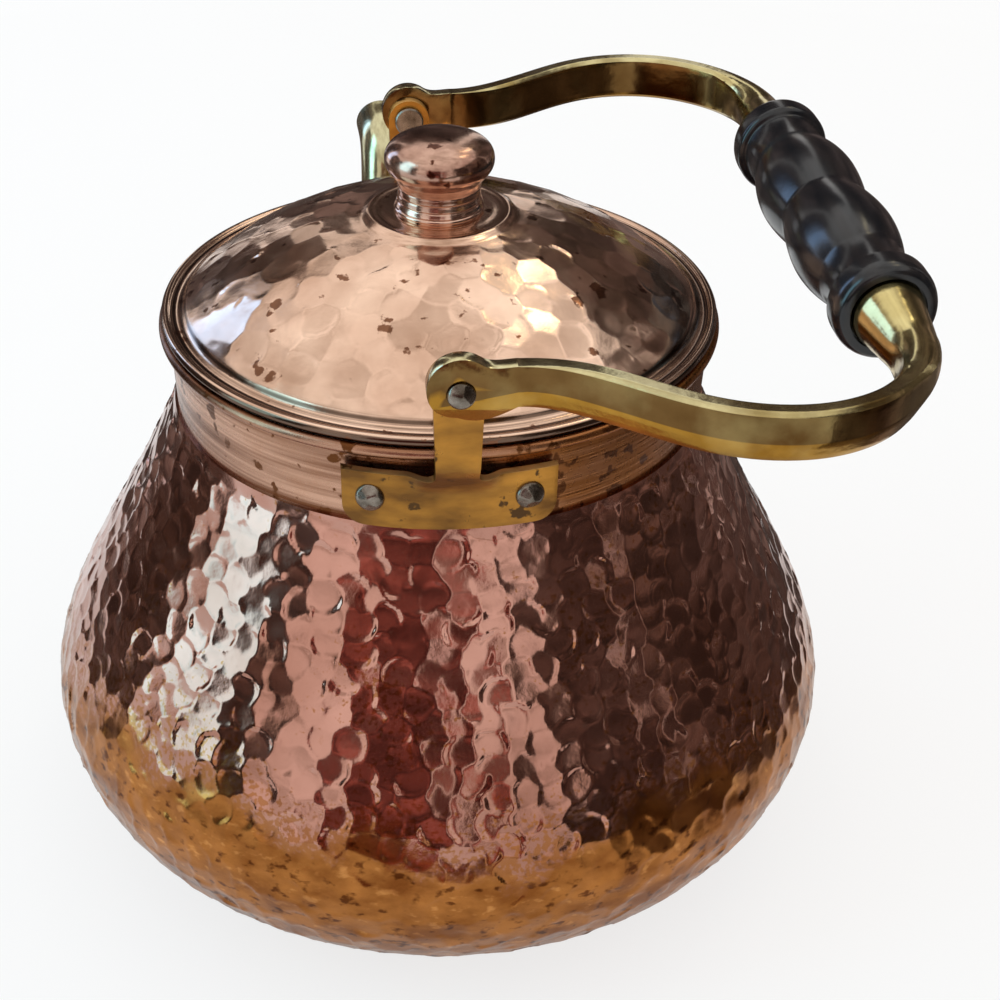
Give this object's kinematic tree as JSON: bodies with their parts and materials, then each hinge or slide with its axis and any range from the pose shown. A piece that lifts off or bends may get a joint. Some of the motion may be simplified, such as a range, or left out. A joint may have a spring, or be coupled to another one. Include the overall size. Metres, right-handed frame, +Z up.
{
  "type": "tea kettle",
  "caption": "Hammered copper kettle with a lift-off domed lid, brass spout and a swinging brass bail handle with a turned wooden grip.",
  "frame": {"origin": "centre of the flat base, on the surface the kettle stands on", "axes": "+Z up, +Y towards the spout, +X towards the side on which the bail lies at rest"},
  "size_m": [0.2315, 0.2627, 0.2092],
  "materials": {
    "hammered_copper": "hand-hammered copper, polished, with a warm tarnish low down",
    "spun_copper": "smooth spun copper with fine turning lines and brown tarnish",
    "lid_copper": "softly hammered copper, polished",
    "tinned_copper": "tinned copper, dull grey",
    "knob_copper": "turned copper, polished",
    "bracket_brass": "cut and bent brass plate, worn",
    "cast_brass": "cast brass, filed and polished",
    "spout_brass": "cast brass, polished",
    "rivet_steel": "hammered steel rivet heads, grey",
    "fixing_steel": "plain steel",
    "lacquered_wood": "turned wood with glossy black-brown lacquer"
  },
  "bodies": {
    "pot": {"body_shell": "hammered_copper", "neck_collar": "spun_copper", "bracket_front": "bracket_brass", "bracket_rear": "bracket_brass", "rivet_front_left": "rivet_steel", "rivet_front_right": "rivet_steel", "rivet_rear_left": "rivet_steel", "rivet_rear_right": "rivet_steel", "pivot_pin_front": "rivet_steel", "pivot_pin_rear": "rivet_steel", "spout": "spout_brass", "spout_seat_ring": "spout_brass"},
    "lid": {"lid_dome": "lid_copper", "lid_skirt": "tinned_copper", "lid_knob": "knob_copper", "knob_washer": "fixing_steel", "knob_screw": "fixing_steel"},
    "bail": {"bail_arm_front": "cast_brass", "bail_arm_rear": "cast_brass", "grip_rod": "fixing_steel"},
    "grip": {"grip": "lacquered_wood"}
  },
  "joints": [
    {"name": "lid_lift", "type": "slide", "parent": "pot", "child": "lid", "axis": [0, 0, 1], "range_m": [0, 0.06]},
    {"name": "bail_swing", "type": "hinge", "parent": "pot", "child": "bail", "pos_m": [-0.0024, 0, 0.1826], "axis": [0, -1, 0], "range_deg": [-28.5, 210.5]},
    {"name": "grip_spin", "type": "hinge", "parent": "bail", "child": "grip", "pos_m": [0.103, 0, 0.1826], "axis": [0, 1, 0], "continuous": true}
  ]
}
